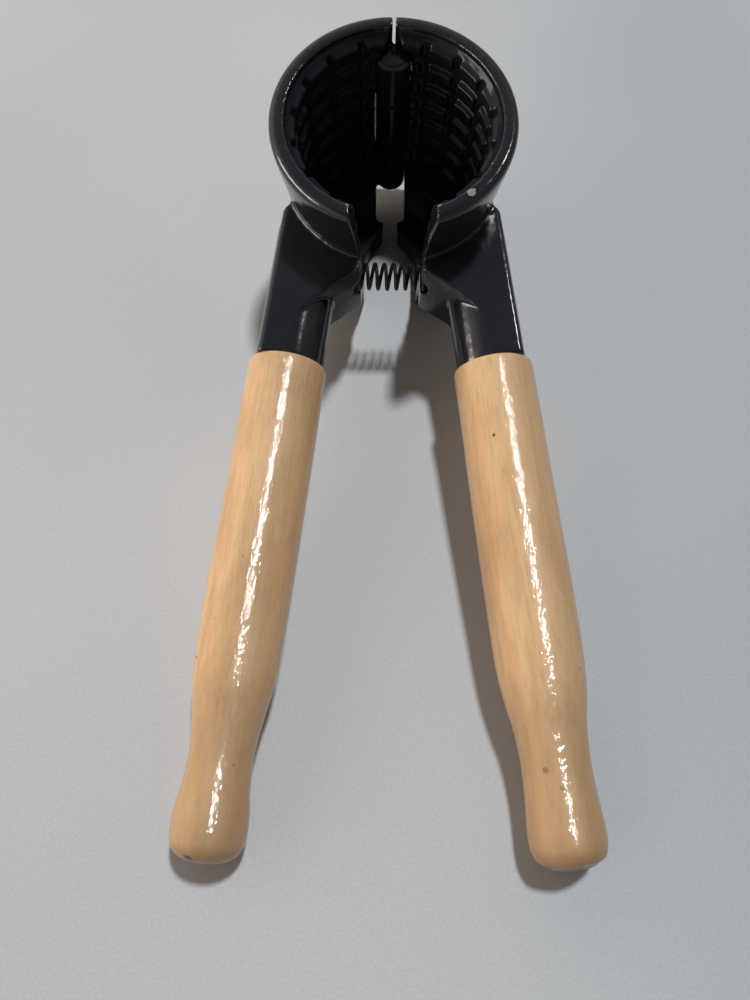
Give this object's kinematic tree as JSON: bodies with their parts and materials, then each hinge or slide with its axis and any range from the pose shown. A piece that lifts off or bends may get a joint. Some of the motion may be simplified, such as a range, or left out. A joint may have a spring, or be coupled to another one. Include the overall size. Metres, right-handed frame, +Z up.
{
  "type": "nutcracker",
  "caption": "Plier nutcracker with a toothed half-cup on each jaw, a hinge pin at the back, an opening spring and two turned wooden handles.",
  "frame": {"origin": "on the table under the middle of the tool, as it stands open on the foot of its cup and the ends of its handles", "axes": "+X across the tool from the left jaw to the right, +Y from the handle ends towards the hinge, +Z up"},
  "size_m": [0.0922, 0.1914, 0.0572],
  "materials": {
    "enamel": "gloss black enamel over cast metal",
    "pin_steel": "gloss black enamel over steel",
    "spring_steel": "black coated spring wire",
    "handle_wood": "clear gloss varnish"
  },
  "bodies": {
    "left_half": {"left_jaw": "enamel", "hinge_pin": "pin_steel", "spring": "spring_steel", "left_handle": "handle_wood"},
    "right_half": {"right_jaw": "enamel", "right_handle": "handle_wood"}
  },
  "joints": [
    {"name": "jaw_hinge", "type": "hinge", "parent": "left_half", "child": "right_half", "pos_m": [0, 0.08827, 0.03082], "axis": [0, 0.1253, -0.9921], "range_deg": [0, 12.2], "stiffness_Nm_per_rad": 10, "springref_deg": -1.15, "deforming": ["spring"]}
  ]
}
